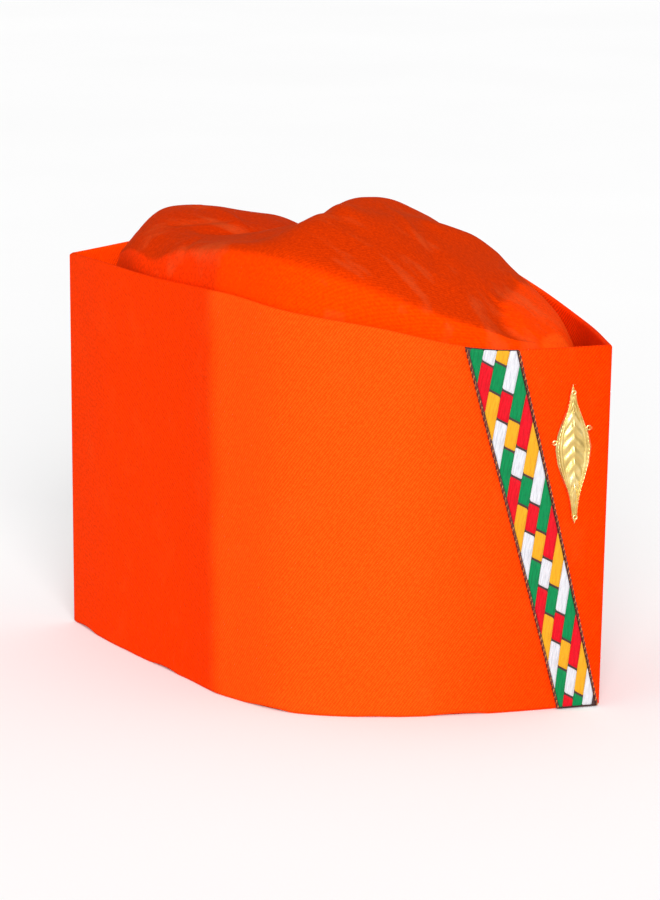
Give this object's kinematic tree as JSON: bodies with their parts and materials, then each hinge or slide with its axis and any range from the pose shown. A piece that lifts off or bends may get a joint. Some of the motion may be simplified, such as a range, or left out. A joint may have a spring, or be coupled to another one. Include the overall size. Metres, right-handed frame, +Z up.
{
  "type": "pahadi cap",
  "caption": "Tall boat-shaped hill cap of orange twill: folded-up cuff, soft two-humped crown, slanted checked braid and gold brooch.",
  "frame": {"origin": "centre of the cap's own box in plan, at the level of the hem that it rests on", "axes": "+X towards the front tip, -Y towards the wall with the braid and brooch, +Z up"},
  "size_m": [0.2366, 0.1414, 0.1733],
  "materials": {
    "cuff_twill": "matte twill with a faint diagonal rib",
    "band_twill": "matte twill",
    "crown_twill": "matte twill, slightly brushed",
    "braid_satin": "satin-stitched checks in red, white, green and yellow",
    "brooch_gold": "stamped, bright with a soft grain"
  },
  "bodies": {
    "root": {"cuff": "cuff_twill", "inner_band": "band_twill", "crown": "crown_twill", "braid": "braid_satin", "brooch": "brooch_gold"}
  },
  "joints": []
}
